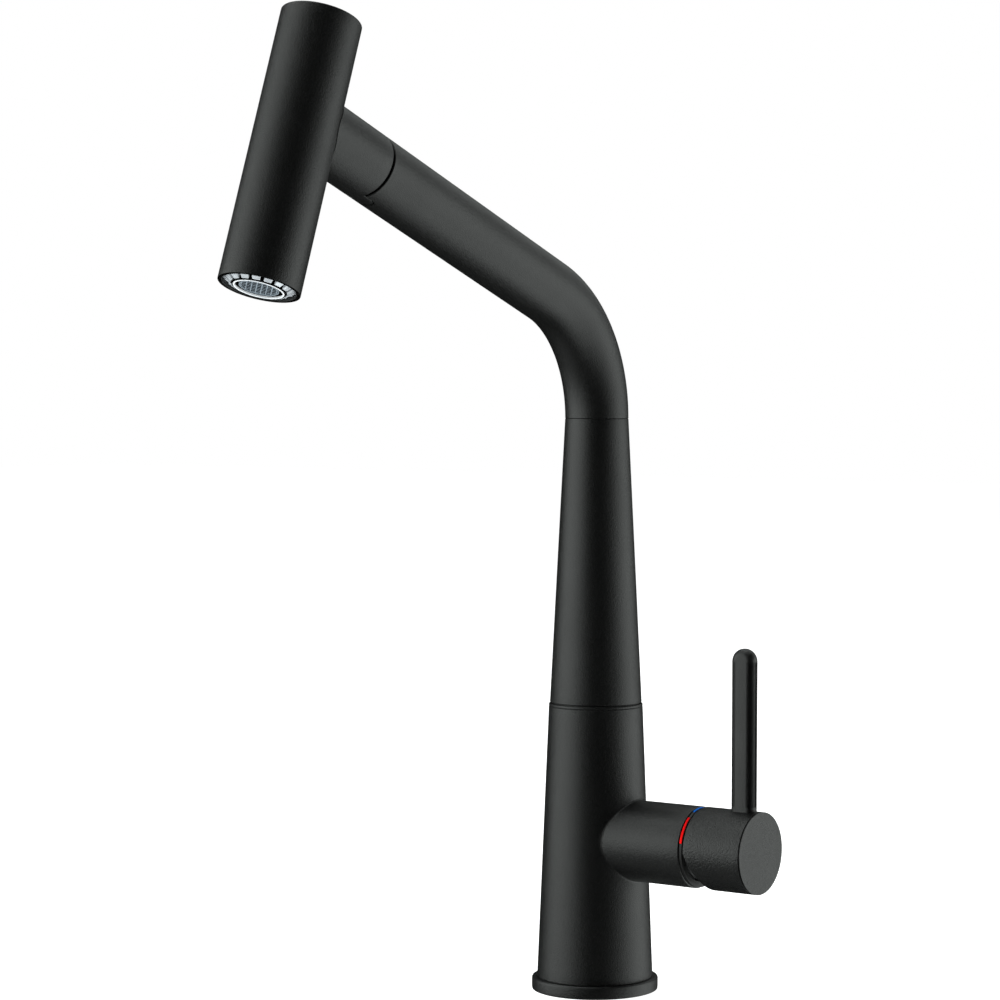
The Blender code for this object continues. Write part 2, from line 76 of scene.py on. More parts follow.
def aimed(origin, axis):
    """A frame whose local Z runs along axis, with local X kept level."""
    z = Vector(axis).normalized()
    x = Vector((1, 0, 0))
    if abs(z.dot(x)) > 0.9:
        x = Vector((0, 0, -1))
    y = z.cross(x).normalized()
    x = y.cross(z)
    turn = Matrix((x, y, z)).transposed().to_4x4()
    return Matrix.Translation(origin) @ turn


def measure():
    """Named lengths in metres, and the frames of the branch, the arm and the head."""
    ring_low, ring_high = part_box("base_ring")
    body_low, body_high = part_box("mixer_body")
    column_low, column_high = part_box("spout_column")
    tube_low, tube_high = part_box("spout_tube")
    cap_low, cap_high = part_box("handle_cap")
    bar_low, bar_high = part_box("lever_bar")
    shell_low, shell_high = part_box("spray_shell")
    branch_z = JOINTS["lever_turn"]["pos_m"][2]
    arm_axis = joint_axis("spray_pull")
    head_axis = joint_axis("jet_selector_turn")
    crossing = Vector(JOINTS["jet_selector_turn"]["pos_m"])
    turn = math.acos(arm_axis.z)
    axes_meet = crossing.z - crossing.y / arm_axis.y * arm_axis.z
    column_top = column_high[2]
    bend_r = (axes_meet - column_top) / math.tan(turn / 2)
    arm_start = Vector((0, -bend_r * (1 - math.cos(turn)), column_top + bend_r * math.sin(turn)))
    head_r = (shell_high[0] - shell_low[0]) / 2
    head_edge = 0.55 * MM
    tilt_y = abs(head_axis.y)
    tilt_z = abs(head_axis.z)
    return {
        "base_r": ring_high[0],
        "base_h": body_low[2] - 0.3 * MM,
        "foot_r": -body_low[0],
        "seam": JOINTS["spout_swivel"]["pos_m"][2],
        "column_foot_r": column_high[0],
        "column_top": column_top,
        "tube_r": tube_high[0],
        "bend_r": bend_r,
        "turn": turn,
        "arm": aimed(arm_start, arm_axis),
        "arm_mouth": 117.7 * MM,
        "neck_start": 118.65 * MM,
        "crossing": (crossing - arm_start).length,
        "head": aimed(crossing, head_axis),
        "head_r": head_r,
        "head_top": (shell_high[2] - crossing.z - (head_r - head_edge) * tilt_y) / tilt_z,
        "head_face": (crossing.z - shell_low[2] - (head_r - head_edge) * tilt_y) / tilt_z,
        "branch": aimed((0, 0, branch_z), (1, 0, 0)),
        "branch_z": branch_z,
        "branch_r": (cap_high[2] - cap_low[2]) / 2,
        "branch_end": body_high[0],
        "pivot": JOINTS["lever_lift"]["pos_m"][0],
        "cap_start": cap_low[0],
        "cap_end": cap_high[0],
        "lever_x": (bar_low[0] + bar_high[0]) / 2,
        "lever_w": bar_high[0] - bar_low[0],
        "lever_d": bar_high[1] - bar_low[1],
        "lever_top": bar_high[2],
    }


M = measure()


# Outlines: lists of (radius, height) points in metres


def mm(*values):
    """Millimetres as a list of metres."""
    return [value * MM for value in values]


def ring_outline(inner, outer, low, high):
    """The outline of a plain ring or, where inner is 0, of a disc."""
    return [(inner, low), (outer, low), (outer, high), (inner, high)]


def curve(start, corner, end, steps):
    """Points of a soft curve from start to end, drawn towards the corner."""
    parts = [step / steps for step in range(steps + 1)]
    return [start * (1 - t) ** 2 + corner * (2 * t * (1 - t)) + end * t * t for t in parts]


def softened(outline, radii, steps=5):
    """The outline with its corners rounded, by one radius for all or a list of one for each."""
    if not isinstance(radii, (list, tuple)):
        radii = [radii] * len(outline)
    share, tiny = 0.45, 1e-6
    out = []
    count = len(outline)
    for i, (point, radius) in enumerate(zip(outline, radii)):
        here = Vector(point)
        before = Vector(outline[i - 1]) - here
        after = Vector(outline[(i + 1) % count]) - here
        reach = min(radius, before.length * share, after.length * share)
        if reach < tiny or point[0] == 0:
            out.append(tuple(point))
            continue
        start = here + before.normalized() * reach
        end = here + after.normalized() * reach
        out += [tuple(place) for place in curve(start, here, end, steps)]
    return out


def divided(outline, step):
    """The outline with points added about every step along its long runs."""
    out = []
    for i, point in enumerate(outline):
        out.append(point)
        following = outline[(i + 1) % len(outline)]
        if i == len(outline) - 1 and outline[0][0] == 0:
            break
        length = math.dist(point, following)
        pieces = int(length / step)
        for k in range(1, pieces):
            t = k / pieces
            out.append(tuple(a + (b - a) * t for a, b in zip(point, following)))
    return out


def circle(radius, height, sides):
    turns = [2 * math.pi * i / sides for i in range(sides)]
    return [(radius * math.cos(a), radius * math.sin(a), height) for a in turns]


# Mesh tools, which work on bmeshes


def joined_rings(bm, first, second):
    """Faces between two loops of vertices, either of which may be a single point."""
    count = max(len(first), len(second))
    for i in range(count):
        j = (i + 1) % count
        corners = [first[i % len(first)], first[j % len(first)]]
        corners += [second[j % len(second)], second[i % len(second)]]
        bm.faces.new(list(dict.fromkeys(corners)))


def skinned(bm, loops):
    """Faces between neighbouring loops, and one at each end."""
    for one, two in zip(loops, loops[1:]):
        joined_rings(bm, one, two)
    bm.faces.new(loops[0])
    bm.faces.new(loops[-1])
    bmesh.ops.recalc_face_normals(bm, faces=bm.faces)
    return bm


def lathe(outline, sides=SIDES, dense=None):
    """A turned mesh about local Z. Long runs are divided every dense metres."""
    if dense:
        outline = divided(outline, dense)
    bm = bmesh.new()
    rings = []
    for radius, height in outline:
        points = circle(radius, height, sides) if radius else [(0, 0, height)]
        rings.append([bm.verts.new(point) for point in points])
    for first, second in zip(rings, rings[1:]):
        joined_rings(bm, first, second)
    if len(rings[0]) > 1:
        joined_rings(bm, rings[-1], rings[0])
    bmesh.ops.recalc_face_normals(bm, faces=bm.faces)
    return bm


def sweep(stations, outer, inner, sides=96):
    """A tube through a row of frames, open at both ends, with its wall between two radii."""
    bm = bmesh.new()

    def hoop(station, radius):
        return [bm.verts.new(station @ Vector(point)) for point in circle(radius, 0, sides)]

    edge = 0.25 * MM
    lead = Matrix.Translation((0, 0, edge))
    rings = [hoop(stations[0], outer - edge), hoop(stations[0] @ lead, outer)]
    rings += [hoop(station, outer) for station in stations[1:-1]]
    rings += [hoop(stations[-1] @ lead.inverted(), outer), hoop(stations[-1], outer - edge)]
    rings += [hoop(station, inner) for station in reversed(stations)]
    rings.append(rings[0])
    for first, second in zip(rings, rings[1:]):
        joined_rings(bm, first, second)
    bmesh.ops.recalc_face_normals(bm, faces=bm.faces)
    return bm


def slice_at(bm, angle, inner, outer, low, high):
    """The four corners of a ring's cross-section at an angle about local Z."""
    corners = ring_outline(inner, outer, low, high)
    return [bm.verts.new((r * math.cos(angle), r * math.sin(angle), z)) for r, z in corners]


def sector(inner, outer, low, high, first, last, steps):
    """Part of a ring about local Z, between two angles in degrees."""
    bm = bmesh.new()
    angles = [math.radians(first + (last - first) * i / steps) for i in range(steps + 1)]
    return skinned(bm, [slice_at(bm, a, inner, outer, low, high) for a in angles])


def key_plate(inner, outer, start, end, half_width, round_r, columns=24):
    """A curved plate on the underside of the arm, with its start end rounded."""
    bm = bmesh.new()
    slices = []
    for i in range(columns + 1):
        across = half_width * (2 * i / columns - 1)
        over = max(0.0, abs(across) - (half_width - round_r))
        low = start + round_r - math.sqrt(max(0.0, round_r**2 - over**2))
        slices.append(slice_at(bm, -math.pi / 2 + across / outer, inner, outer, low, end))
    return skinned(bm, slices)


def block(low, high):
    bm = bmesh.new()
    bmesh.ops.create_cube(bm, size=1)
    for vert in bm.verts:
        vert.co = Vector(a + (b - a) * (t + 0.5) for a, b, t in zip(low, high, vert.co))
    return bm


def prism(outline, low, high):
    """A prism with its outline in local XZ, from y = low to y = high."""
    bm = bmesh.new()
    near = [bm.verts.new((x, low, z)) for x, z in outline]
    far = [bm.verts.new((x, high, z)) for x, z in outline]
    bm.faces.new(near)
    bm.faces.new(far)
    joined_rings(bm, near, far)
    bmesh.ops.recalc_face_normals(bm, faces=bm.faces)
    return bm


def drill(radius, start, end, sides=48):
    """A round cutter along local Z."""
    return lathe(ring_outline(0, radius, start, end), sides)


def bevelled(bm, width, segments=3):
    """The sharp edges of a mesh rounded."""
    sharp = math.radians(30)
    pairs = [edge for edge in bm.edges if len(edge.link_faces) == 2]
    bmesh.ops.bevel(
        bm,
        geom=[edge for edge in pairs if edge.calc_face_angle() > sharp],
        offset=width,
        offset_type="OFFSET",
        segments=segments,
        profile=0.5,
        affect="EDGES",
        clamp_overlap=True,
    )
    return bm


def together(meshes):
    """Several bmeshes in one."""
    whole = bmesh.new()
    for bm in meshes:
        mesh = bpy.data.meshes.new("share")
        bm.to_mesh(mesh)
        bm.free()
        whole.from_mesh(mesh)
        bpy.data.meshes.remove(mesh)
    return whole


def moved(bm, x=0.0, y=0.0, z=0.0):
    bmesh.ops.translate(bm, verts=bm.verts, vec=(x, y, z))
    return bm


def turned(bm, angle, axis):
    bmesh.ops.transform(bm, matrix=Matrix.Rotation(angle, 4, axis), verts=bm.verts)
    return bm


# Objects


def smooth(mesh):
    """Smooth shading but for the sharp edges."""
    mesh.shade_smooth()
    mesh.set_sharp_from_angle(angle=SMOOTH_ANGLE)


def thing(name, bm, place=None):
    """An object with the mesh set in its place in the part's own frame."""
    if place:
        bmesh.ops.transform(bm, matrix=place, verts=bm.verts)
    mesh = bpy.data.meshes.new(name)
    bm.to_mesh(mesh)
    bm.free()
    smooth(mesh)
    obj = bpy.data.objects.new(name, mesh)
    bpy.context.scene.collection.objects.link(obj)
    return obj


def turned_part(name, points, corner, place, base=0.0, sides=SIDES, steps=5):
    """A turned object from (radius, height) points in millimetres, above a base in metres."""
    outline = [(radius * MM, base + height * MM) for radius, height in points]
    return thing(name, lathe(softened(outline, corner * MM, steps), sides), place)


def carve(obj, cutter, place=None, operation="DIFFERENCE"):
    """Boolean with a cutter bmesh, applied at once."""
    tool = thing("cutter", cutter, place)
    modifier = obj.modifiers.new("carve", "BOOLEAN")
    modifier.operation = operation
    modifier.object = tool
    modifier.solver = "EXACT"
    bpy.context.view_layer.update()
    graph = bpy.context.evaluated_depsgraph_get()
    result = bpy.data.meshes.new_from_object(obj.evaluated_get(graph))
    obj.modifiers.remove(modifier)
    old = obj.data
    obj.data = result
    bpy.data.meshes.remove(old)
    data = tool.data
    bpy.data.objects.remove(tool)
    bpy.data.meshes.remove(data)
    smooth(obj.data)


def round_edges(obj, width):
    """A bevel with even shading on the object's sharp edges."""
    bevel = obj.modifiers.new("edges", "BEVEL")
    bevel.width = width
    bevel.segments = 3
    bevel.limit_method = "ANGLE"
    bevel.angle_limit = math.radians(35)
    bevel.harden_normals = True


def mount(obj, body, slot, material, *nodes):
    """Gives the piece its material and body, and hides the CAD nodes it stands for."""
    obj.data.materials.clear()
    obj.data.materials.append(material)
    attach(obj, body)
    if nodes:
        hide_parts(*nodes)
    return obj


# Materials


class Nodes:
    """A short way to write a material's node tree. Noise scales are cycles per metre."""

    def __init__(self, name):
        self.material = bpy.data.materials.new(name)
        self.material.use_nodes = True
        self.tree = self.material.node_tree
        self.shader = self.tree.nodes["Principled BSDF"]
        self.where = self.tree.nodes.new("ShaderNodeTexCoord").outputs["Object"]

    def noise(self, scale, detail=2.0, rough=0.5, stretch=None):
        node = self.tree.nodes.new("ShaderNodeTexNoise")
        node.inputs["Scale"].default_value = scale
        node.inputs["Detail"].default_value = detail
        node.inputs["Roughness"].default_value = rough
        source = self.where
        if stretch:
            mapping = self.tree.nodes.new("ShaderNodeMapping")
            mapping.inputs["Scale"].default_value = stretch
            self.tree.links.new(source, mapping.inputs["Vector"])
            source = mapping.outputs["Vector"]
        self.tree.links.new(source, node.inputs["Vector"])
        return node.outputs["Fac"]

    def span(self, value, low, high, start=0.3, end=0.7):
        """The value's middle range, start to end, spread over low to high."""
        node = self.tree.nodes.new("ShaderNodeMapRange")
        node.inputs["From Min"].default_value = start
        node.inputs["From Max"].default_value = end
        node.inputs["To Min"].default_value = low
        node.inputs["To Max"].default_value = high
        self.tree.links.new(value, node.inputs["Value"])
        return node.outputs["Result"]

    def tint(self, value, dark, light):
        node = self.tree.nodes.new("ShaderNodeMix")
        node.data_type = "RGBA"
        node.inputs[MIX_A].default_value = (*dark, 1)
        node.inputs[MIX_B].default_value = (*light, 1)
        self.tree.links.new(value, node.inputs[0])
        self.tree.links.new(node.outputs[MIX_RESULT], self.shader.inputs["Base Color"])

    def rough(self, value, low, high):
        self.tree.links.new(self.span(value, low, high), self.shader.inputs["Roughness"])

    def bump(self, *heights):
        """Stacked bumps from (height, depth in metres) pairs."""
        normal = None
        for height, depth in heights:
            node = self.tree.nodes.new("ShaderNodeBump")
            node.inputs["Strength"].default_value = 1.0
            node.inputs["Distance"].default_value = depth
            self.tree.links.new(height, node.inputs["Height"])
            if normal:
                self.tree.links.new(normal, node.inputs["Normal"])
            normal = node.outputs["Normal"]
        self.tree.links.new(normal, self.shader.inputs["Normal"])

    def put(self, **values):
        for key, value in values.items():
            self.shader.inputs[key.replace("_", " ")].default_value = value


def paint(name, grain_size, grain_depth, rough):
    """Matte black powder coat: a coarse grain and a fine one over slow changes in gloss."""
    dark, light = (0.0010, 0.0011, 0.0011), (0.0026, 0.0028, 0.0027)
    n = Nodes(name)
    fine = n.noise(2400, 2, 0.6)
    coarse = n.noise(1 / grain_size, 3, 0.55)
    n.tint(n.span(coarse, 0, 1), dark, light)
    n.rough(n.noise(45, 3), *rough)
    n.bump((coarse, grain_depth), (fine, 0.02 * MM))
    return n.material


def moulding(name, dark, light, rough, specular=0.5, mottle=300, gloss=90):
    """A moulded or enamelled surface: slight mottle, uneven gloss and a faint grain."""
    n = Nodes(name)
    n.tint(n.noise(mottle, 3), dark, light)
    n.rough(n.noise(gloss, 3), *rough)
    n.bump((n.noise(1800, 2), 0.01 * MM))
    n.put(Specular_IOR_Level=specular)
    return n.material


def enamel(name, dark, light):
    """A strong flat colour with little gloss."""
    return moulding(name, dark, light, (0.5, 0.65), specular=0.12)


def matt_black(name):
    """Soft black moulding that hardly shines even at a low angle."""
    dark, light = (0.0003, 0.0003, 0.0003), (0.0006, 0.0006, 0.0006)
    return moulding(name, dark, light, (0.7, 0.85), specular=0.008, mottle=400, gloss=120)


def metal(name, dark, light, rough):
    """Turned or drawn metal with fine lines along one direction."""
    n = Nodes(name)
    lines = n.noise(400, 4, 0.6, stretch=(1, 1, 9))
    n.tint(n.noise(120, 3), dark, light)
    n.rough(lines, *rough)
    n.bump((lines, 0.008 * MM))
    n.put(Metallic=1.0)
    return n.material


def satin_chrome(name):
    """Satin metal plating. Its light diffuse tint is partly the plating's tone and partly painted brightness that
    stands in for light from below.
    """
    n = Nodes(name)
    n.tint(n.noise(500, 3), (0.44, 0.47, 0.50), (0.62, 0.66, 0.70))
    n.rough(n.noise(900, 3), 0.10, 0.22)
    n.bump((n.noise(1500, 2), 0.01 * MM))
    n.put(Metallic=0.35)
    return n.material


def braid_material(name):
    """A hose braid of crossed dark and light yarns, as two waves."""
    slant = 0.9
    n = Nodes(name)
    waves = []
    for angle in (slant, -slant):
        mapping = n.tree.nodes.new("ShaderNodeMapping")
        mapping.inputs["Rotation"].default_value = (0, 0, angle)
        wave = n.tree.nodes.new("ShaderNodeTexWave")
        wave.inputs["Scale"].default_value = 220
        wave.inputs["Distortion"].default_value = 0.4
        n.tree.links.new(n.where, mapping.inputs["Vector"])
        n.tree.links.new(mapping.outputs["Vector"], wave.inputs["Vector"])
        waves.append(wave.outputs["Fac"])
    most = n.tree.nodes.new("ShaderNodeMath")
    most.operation = "MAXIMUM"
    n.tree.links.new(waves[0], most.inputs[0])
    n.tree.links.new(waves[1], most.inputs[1])
    n.tint(most.outputs[0], (0.02, 0.02, 0.02), (0.32, 0.32, 0.33))
    n.rough(n.noise(300, 2), 0.35, 0.6)
    n.bump((most.outputs[0], 0.2 * MM))
    return n.material


def make_materials():
    """Materials by short name, mostly from a dark and a light tint and a span of roughness."""
    black, soft_black = (0.0015, 0.0015, 0.0015), (0.003, 0.003, 0.003)
    return {
        "paint": paint("fine_black_coat", 0.42 * MM, 0.13 * MM, (0.37, 0.42)),
        "hub_paint": paint("grained_black_coat", 0.62 * MM, 0.26 * MM, (0.30, 0.36)),
        "lever_paint": paint("lever_black_coat", 0.50 * MM, 0.13 * MM, (0.38, 0.44)),
        # screen: the grey-blue diffuse tint is partly the steel's tone and partly painted brightness in place of
        # the bars' reflections
        "screen": moulding("screen_steel", (0.14, 0.17, 0.20), (0.24, 0.29, 0.33), (0.3, 0.4)),
        # aerator rim: the near-white colour on a chrome part is a painted highlight
        "bright": moulding("bright_rim", (0.66, 0.69, 0.72), (0.82, 0.85, 0.88), (0.2, 0.3)),
        "matt": matt_black("matt_black_lip"),
        "black": moulding("black_moulding", black, soft_black, (0.45, 0.6)),
        "dome": moulding("satin_dome", (0.02, 0.021, 0.021), (0.035, 0.036, 0.036), (0.3, 0.4)),
        "white": moulding("acetal", (0.70, 0.70, 0.67), (0.80, 0.80, 0.77), (0.35, 0.5)),
        "rubber": moulding("seal_rubber", (0.01, 0.01, 0.01), (0.022, 0.022, 0.022), (0.6, 0.8)),
        "ceramic": moulding("lapped_ceramic", (0.80, 0.79, 0.76), (0.9, 0.89, 0.86), (0.1, 0.25)),
        "steel": metal("turned_steel", (0.48, 0.48, 0.49), (0.62, 0.62, 0.63), (0.22, 0.40)),
        "brass": metal("machined_brass", (0.50, 0.33, 0.12), (0.66, 0.46, 0.20), (0.2, 0.38)),
        # crown: the light satin tint is partly the plating's tone and partly painted brightness
        "chrome": satin_chrome("satin_chrome"),
        "red": enamel("red_inlay", (0.85, 0.0, 0.0), (0.98, 0.0, 0.0)),
        "blue": enamel("blue_inlay", (0.0, 0.17, 0.80), (0.0, 0.22, 0.95)),
        "braid": braid_material("braided_hose"),
    }


# Column and spout


def make_base(mat):
    """The ring on the worktop, slightly drawn in at its foot."""
    r, h = M["base_r"], M["base_h"]
    hole, foot_inset, foot_h = 17.4 * MM, 0.1 * MM, h * 0.35
    outline = [(hole, 0), (r - foot_inset, 0), (r, foot_h), (r, h), (hole, h)]
    ring = thing("base_ring_finish", lathe(softened(outline, mm(0.2, 0.4, 0.6, 0.9, 0.3))))
    mount(ring, "mixer", "matte_black_paint", mat["paint"], "base_ring")


def body_radius(z):
    """Radius of the lower body's cone at a height."""
    foot_z = M["base_h"]
    top_z = M["seam"]
    top_r = M["column_foot_r"] + 0.36 * MM
    t = (z - foot_z) / (top_z - foot_z)
    return M["foot_r"] + (top_r - M["foot_r"]) * t


def make_body(mat):
    """The lower body, a cone with a fine groove near its top, and its side branch."""
    foot_z = M["base_h"] + 0.05 * MM
    top_z = M["seam"] - 0.25 * MM
    collar_z = top_z - 9 * MM
    groove_z = top_z - 1.05 * MM
    groove_half, groove_depth = 0.2 * MM, 0.22 * MM
    wall, collar_bore = 2.0 * MM, 12.5 * MM
    outline = [
        (body_radius(foot_z) - wall, foot_z),
        (body_radius(foot_z), foot_z),
        (body_radius(groove_z), groove_z - groove_half),
        (body_radius(groove_z) - groove_depth, groove_z),
        (body_radius(groove_z), groove_z + groove_half),
        (body_radius(top_z), top_z),
        (collar_bore, top_z),
        (collar_bore, collar_z),
        (body_radius(collar_z) - wall, collar_z),
    ]
    outline = softened(outline, mm(0.1, 0.2, 0.1, 0, 0.1, 0.35, 0.3, 0.1, 0.1))
    body = thing("lower_body", lathe(outline, dense=RUN))
    r, end = M["branch_r"], M["branch_end"]
    root, bore, floor = 5 * MM, 13.2 * MM, 14 * MM
    branch = [(0, root), (r, root), (r, end), (bore, end), (bore, floor), (0, floor)]
    branch = softened(branch, mm(0, 0.1, 0.45, 0.3, 0.1, 0))
    carve(body, lathe(branch, dense=RUN), M["branch"], "UNION")
    mount(body, "mixer", "matte_black_paint", mat["paint"], "mixer_body")
    fillet = thing("branch_fillet", branch_fillet(1.0 * MM))
    mount(fillet, "mixer", "matte_black_paint", mat["paint"])


def branch_fillet(reach, around=160, steps=8):
    """The soft cove where the branch leaves the cone, as a closed ring of curved strips."""
    bm = bmesh.new()
    r, centre = M["branch_r"], M["branch_z"]
    along, sunk = Vector((1, 0, 0)), 1 * MM
    loops = []
    for i in range(around):
        a = 2 * math.pi * i / around
        y, z = r * math.sin(a), centre + r * math.cos(a)
        corner = Vector((math.sqrt(body_radius(z) ** 2 - y * y), y, z))
        outward = Vector((0, math.sin(a), math.cos(a)))
        wide = corner + outward * reach
        flat = math.sqrt(max(0.0, body_radius(wide.z) ** 2 - wide.y**2))
        on_body = Vector((flat, wide.y, wide.z))
        strip = curve(corner + along * reach, corner, on_body, steps)
        strip.append(corner - along * sunk - outward * sunk)
        loops.append([bm.verts.new(point) for point in strip])
    for one, two in zip(loops, loops[1:] + loops[:1]):
        joined_rings(bm, one, two)
    bmesh.ops.recalc_face_normals(bm, faces=bm.faces)
    return bm


def make_washer(mat):
    """The dark bearing washer in the swivel seam."""
    low, high = M["seam"] - 0.2 * MM, M["seam"] + 0.1 * MM
    bore, r = 12.6 * MM, M["column_foot_r"] - 0.7 * MM
    washer = thing("seam_washer", lathe(ring_outline(bore, r, low, high)))
    mount(washer, "mixer", "black_plastic", mat["black"], "swivel_washer")


def make_column(mat):
    """The tapered upper column, with a stop screw in its back."""
    foot_z, top_z, step_z = M["seam"] + 0.25 * MM, M["column_top"], 152 * MM
    foot_bore, top_bore = 12.8 * MM, 11.2 * MM
    outline = [
        (foot_bore, foot_z),
        (M["column_foot_r"], foot_z),
        (M["tube_r"], top_z),
        (top_bore, top_z),
        (top_bore, step_z),
        (foot_bore, step_z),
    ]
    outline = softened(outline, mm(0.1, 0.3, 0.2, 0, 0, 0))
    column = thing("upper_column", lathe(outline, dense=5 * MM))
    mount(column, "spout", "matte_black_paint", mat["paint"], "spout_column")
    screw_low, screw_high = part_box("spout_stop_screw")
    screw_place = aimed((0, 0, (screw_low[2] + screw_high[2]) / 2), (0, 1, 0))
    hole_r, screw_r, socket_r = 1.8 * MM, 1.5 * MM, 0.8 * MM
    screw_start, screw_end, socket_floor = 14.2 * MM, 15.9 * MM, 15 * MM
    carve(column, drill(hole_r, 14 * MM, 20 * MM), screw_place)
    outline = softened(ring_outline(0, screw_r, screw_start, screw_end), 0.2 * MM)
    screw = thing("stop_screw_face", lathe(outline, 48), screw_place)
    mount(screw, "spout", "steel", mat["steel"], "spout_stop_screw")
    carve(screw, drill(socket_r, socket_floor, 17 * MM, sides=6), screw_place)


def make_tube(mat):
    """The bent spout tube, notched for the key underneath, and the docking sleeve in it."""
    r, mouth, foot_z, bend_r = M["tube_r"], M["arm_mouth"], M["column_top"], M["bend_r"]
    bend_steps, arm_steps = 44, 14
    stations = [Matrix.Translation((0, 0, foot_z))]
    for i in range(1, bend_steps + 1):
        a = M["turn"] * i / bend_steps
        place = (0, -bend_r * (1 - math.cos(a)), foot_z + bend_r * math.sin(a))
        stations.append(Matrix.Translation(place) @ Matrix.Rotation(a, 4, "X"))
    for i in range(1, arm_steps + 1):
        stations.append(M["arm"] @ Matrix.Translation((0, 0, mouth * i / arm_steps)))
    tube = thing("spout_tube_finish", sweep(stations, r, r - 1.3 * MM))
    notch = key_plate(
        inner=r - 2 * MM,
        outer=r + 1 * MM,
        start=111.3 * MM,
        end=mouth + 1 * MM,
        half_width=3.6 * MM,
        round_r=3.0 * MM,
    )
    carve(tube, notch, M["arm"])
    mount(tube, "spout", "matte_black_paint", mat["paint"], "spout_tube")
    sleeve = ((8.6, 90), (10.9, 90), (10.9, 116.2), (9.4, 116.2), (8.6, 114))
    sleeve = turned_part("docking_sleeve_finish", sleeve, 0.2, M["arm"], sides=96)
    mount(sleeve, "spout", "white_plastic", mat["black"], "docking_sleeve")


# Spray


def make_neck(mat):
    """The spray's neck, with a dark seat in its seam, and the key that enters the arm."""
    r, start, end = M["tube_r"], M["neck_start"], M["crossing"] - 6 * MM
    bore, seat_r, seat_depth = 9.2 * MM, 11.8 * MM, 0.85 * MM
    seat = lathe(ring_outline(bore, seat_r, start - seat_depth, start))
    mount(thing("neck_seat", seat, M["arm"]), "spray", "black_plastic", mat["matt"])
    outline = softened(ring_outline(bore, r, start, end), mm(0.1, 0.5, 0, 0))
    neck = thing("spray_neck_finish", lathe(outline, dense=RUN), M["arm"])
    saddle_r, saddle_reach = M["head_r"] + 0.22 * MM, 50 * MM
    carve(neck, drill(saddle_r, -saddle_reach, saddle_reach, SIDES), M["head"])
    mount(neck, "spray", "matte_black_paint", mat["paint"], "spray_neck")
    key = key_plate(
        inner=r - 1.15 * MM,
        outer=r - 0.02 * MM,
        start=112.0 * MM,
        end=start + 1 * MM,
        half_width=3.1 * MM,
        round_r=2.6 * MM,
    )
    key = thing("neck_key", bevelled(key, 0.25 * MM), M["arm"])
    mount(key, "spray", "matte_black_paint", mat["paint"])


def make_docking(mat):
    """The brass spigot with its seal, and the hose nut, all inside the arm."""
    spigot_start, spigot_end, bore, body_r, back_r = 100, 141, 5.2, 8.3, 8.9
    groove_start, groove_end, groove_r = 107, 110, 7.0
    spigot = (
        (bore, spigot_start),
        (body_r, spigot_start),
        (body_r, groove_start),
        (groove_r, groove_start),
        (groove_r, groove_end),
        (body_r, groove_end),
        (body_r, 118),
        (back_r, 118.6),
        (back_r, spigot_end),
        (bore, spigot_end),
    )
    spigot = turned_part("docking_spigot_finish", spigot, 0.2, M["arm"], sides=96)
    mount(spigot, "spray", "brass", mat["brass"], "docking_spigot")
    seal = ring_outline(7.1, 8.4, 107.3, 109.7)
    seal = turned_part("docking_seal_finish", seal, 1.0, M["arm"], sides=96, steps=8)
    mount(seal, "spray", "black_rubber", mat["rubber"], "docking_seal")
    nut = ((3.7, 86), (4.6, 86), (5.4, 88), (8.2, 93), (8.2, 99.7), (3.7, 99.7))
    nut = turned_part("hose_nut_finish", nut, 0.3, M["arm"], sides=64)
    mount(nut, "spray", "brass", mat["brass"], "hose_nut")


def make_hose(mat):
    """The hose in the arm, a straight tube from the bend to the spray's hose nut."""
    sides, rings = 32, 120
    start, end, radius = 5 * MM, 96 * MM, 3.6 * MM
    bm = bmesh.new()
    loops = []
    for k in range(rings + 1):
        along = start + (end - start) * k / rings
        loops.append([bm.verts.new(point) for point in circle(radius, along, sides)])
    hose = thing("spray_hose_finish", skinned(bm, loops), M["arm"])
    hose.data.materials.append(mat["braid"])
    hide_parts("spray_hose_upper")
    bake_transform(hose)


def make_head(mat):
    """The spray's cylindrical shell, the lid on its top and the nozzle in its lower end."""
    r, top, face = M["head_r"], -M["head_top"], M["head_face"] + 0.2 * MM
    bore = r - 1.4 * MM
    outline = softened(ring_outline(bore, r, top, face), mm(0.2, 0.5, 0.22, 0.2))
    shell = thing("spray_shell_finish", lathe(outline, dense=RUN), M["head"])
    mount(shell, "spray", "matte_black_paint", mat["paint"], "spray_shell")
    high, deep, wide = top + 0.15 * MM, top + 3 * MM, bore - 0.12 * MM
    outline = softened(ring_outline(0, wide, high, deep), mm(0, 0.35, 0.1, 0))
    lid = thing("head_lid", lathe(outline, dense=RUN), M["head"])
    mount(lid, "spray", "matte_black_paint", mat["paint"], "spray_end_cap")
    make_nozzle(mat, face)


